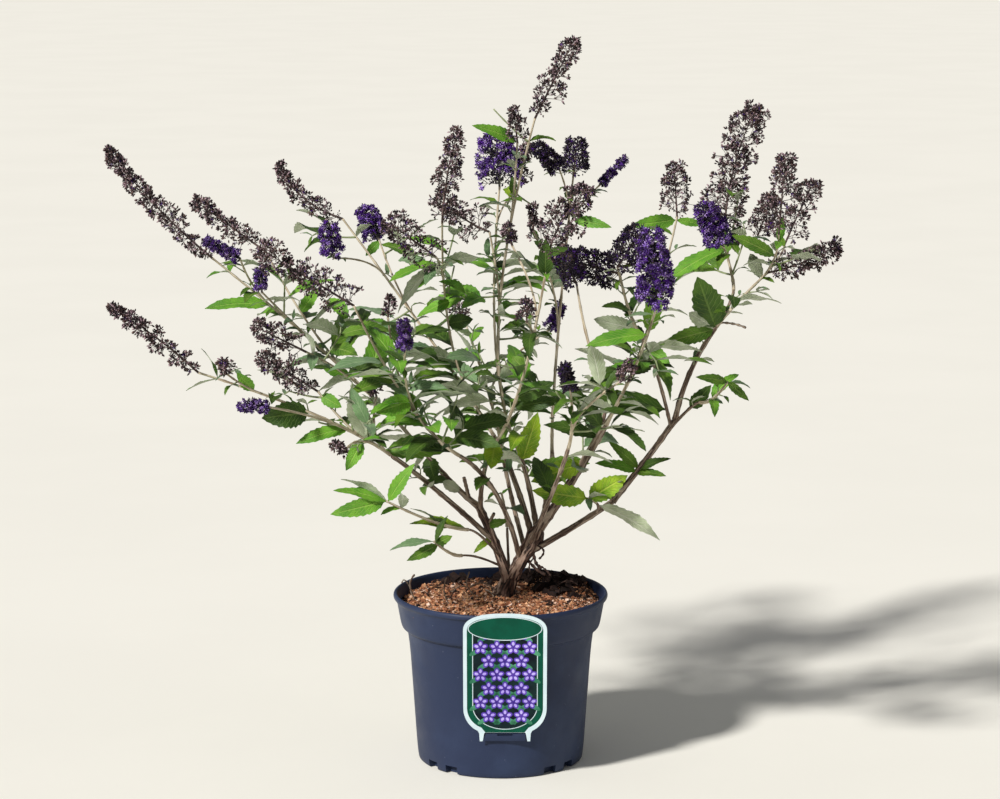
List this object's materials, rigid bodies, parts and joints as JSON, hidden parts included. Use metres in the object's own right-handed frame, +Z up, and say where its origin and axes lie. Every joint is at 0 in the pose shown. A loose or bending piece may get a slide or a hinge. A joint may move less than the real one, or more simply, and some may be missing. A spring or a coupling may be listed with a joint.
{
  "type": "potted butterfly bush",
  "caption": "Flowering shrub with arching leafy stems and violet and spent plumes, standing in a tapered round nursery pot filled with soil, with a label plate on its front.",
  "frame": {"origin": "middle of the pot's flat underside", "axes": "+Z up, -Y towards the pot's front, where the label plate leans, +X to the right seen from the front"},
  "size_m": [0.785, 0.5556, 0.7675],
  "materials": {
    "pot_plastic": "moulded dark slate plastic, satin, dusty",
    "soil": "loose coir and bark potting mix",
    "label": "printed card, semi-gloss",
    "bark": "grey-brown furrowed bark, paler on young wood",
    "foliage": "mid green leaves, felted grey beneath",
    "blossom": "violet florets",
    "spent_blossom": "dry brown seed heads"
  },
  "bodies": {
    "root": {"pot": "pot_plastic", "soil": "soil", "label_plate": "label", "trunk": "bark", "left_arm": "bark", "right_arm": "bark", "low_left": "bark", "high_left": "bark", "front_mid": "bark", "front_left": "bark", "back_left": "bark", "back_mid": "bark", "back_right": "bark", "back_low": "bark", "front_right": "bark", "right_mid": "bark", "right_low": "bark", "right_far": "bark", "right_tall": "bark", "right_cross": "bark", "right_side": "bark", "right_back": "bark", "right_inner": "bark", "elbow_twig": "bark", "low_twig": "bark", "foot_twig": "bark", "sucker": "bark", "low_left_foliage": "foliage", "high_left_foliage": "foliage", "front_left_foliage": "foliage", "front_mid_foliage": "foliage", "back_left_foliage": "foliage", "back_mid_foliage": "foliage", "back_right_foliage": "foliage", "back_low_foliage": "foliage", "front_right_foliage": "foliage", "right_mid_foliage": "foliage", "right_inner_foliage": "foliage", "right_cross_foliage": "foliage", "right_side_foliage": "foliage", "right_tall_foliage": "foliage", "right_back_foliage": "foliage", "elbow_twig_foliage": "foliage", "low_twig_foliage": "foliage", "foot_twig_foliage": "foliage", "sucker_foliage": "foliage"}
  },
  "joints": []
}
